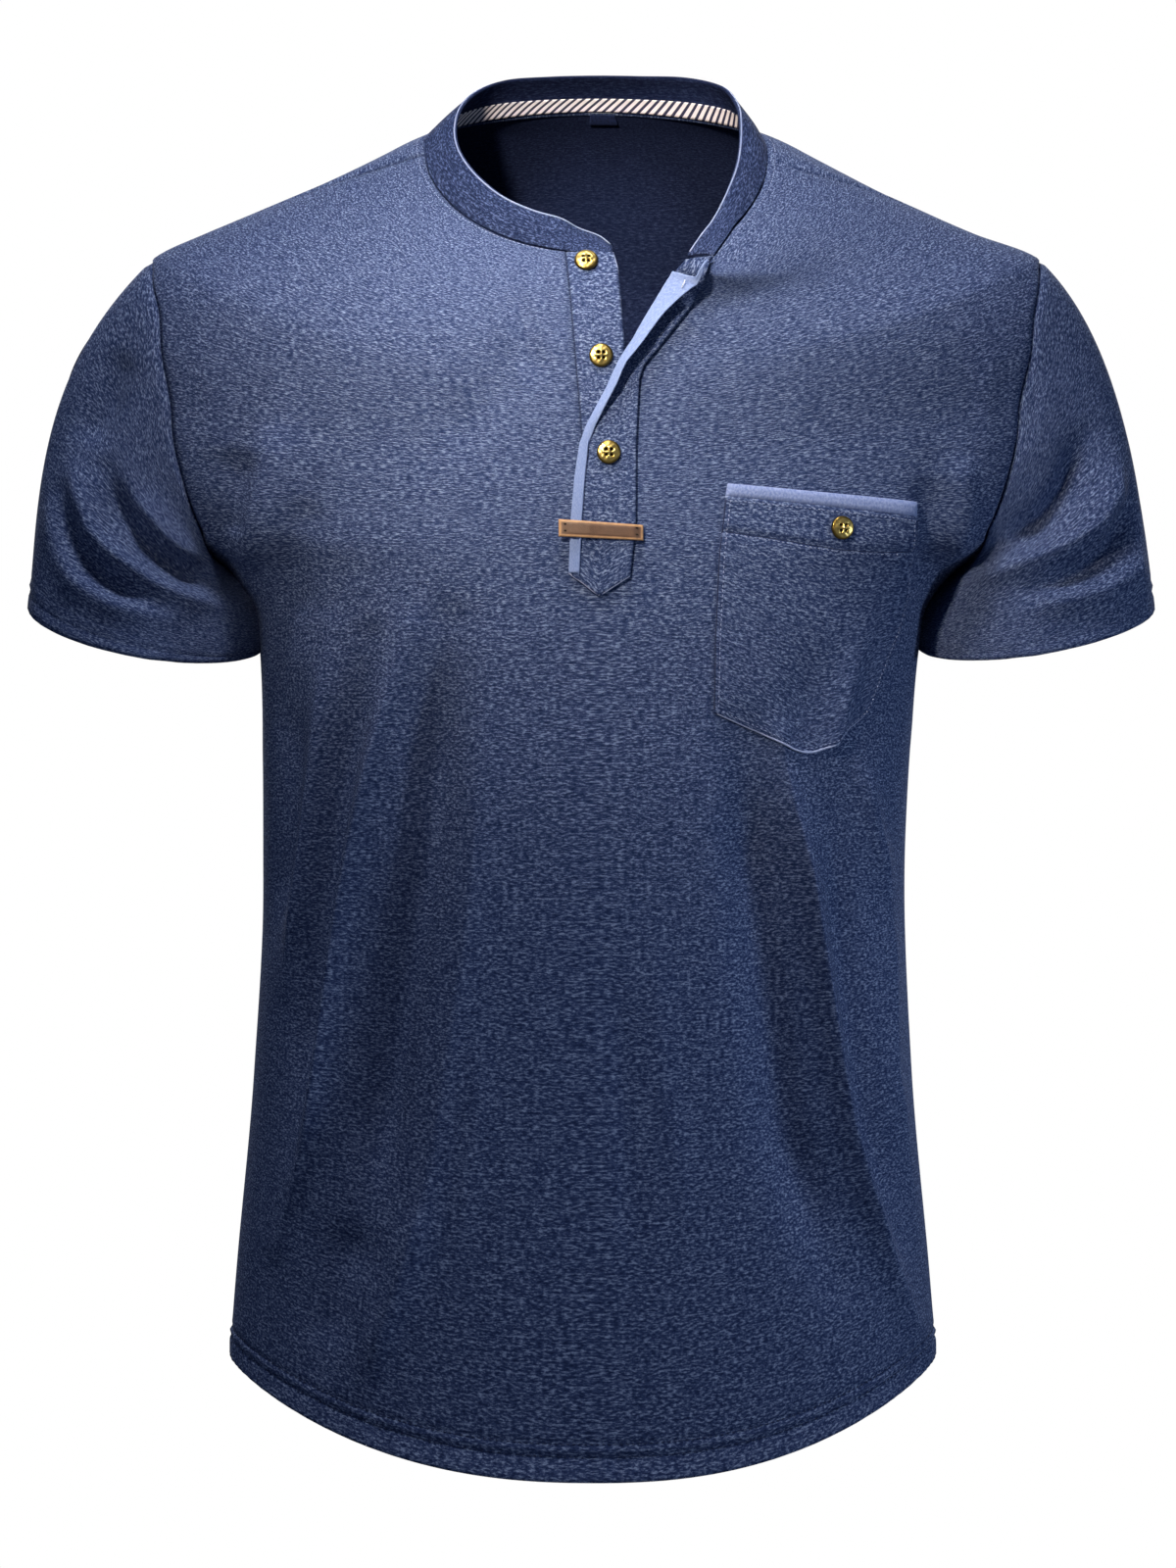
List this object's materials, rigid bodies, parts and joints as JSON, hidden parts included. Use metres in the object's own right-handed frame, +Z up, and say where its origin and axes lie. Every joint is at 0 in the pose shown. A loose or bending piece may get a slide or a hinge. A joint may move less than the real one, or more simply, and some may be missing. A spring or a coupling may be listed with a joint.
{
  "type": "pocket henley t-shirt",
  "caption": "Short-sleeved knit henley with a low band collar, part-open button placket and chest pocket, held open as if worn, so that a wearer's torso and arms fit inside.",
  "frame": {"origin": "mid-point between the two high shoulder points, where the wearer's neck and shoulders carry the shirt", "axes": "+Z up towards the collar, -Y towards the front, +X to the wearer's left"},
  "size_m": [0.608, 0.2504, 0.756],
  "materials": {
    "navy_knit": "heathered single jersey",
    "navy_rib": "heathered jersey, doubled",
    "pale_blue_cotton": "plain woven cotton",
    "neck_tape": "striped herringbone tape",
    "size_tab": "woven tab, bare",
    "brown_leather": "smooth, cut edges",
    "antique_brass": "antique, satin"
  },
  "bodies": {
    "root": {"front": "navy_knit", "back": "navy_knit", "sleeve_right": "navy_knit", "sleeve_left": "navy_knit", "collar_band": "navy_rib", "neck_tape": "neck_tape", "size_tab": "size_tab", "placket_under": "navy_knit", "placket_top": "navy_knit", "placket_facing": "pale_blue_cotton", "leather_tab": "brown_leather", "pocket": "navy_knit", "pocket_binding": "pale_blue_cotton", "button_1": "antique_brass", "button_2": "antique_brass", "button_3": "antique_brass", "pocket_button": "antique_brass"}
  },
  "joints": []
}
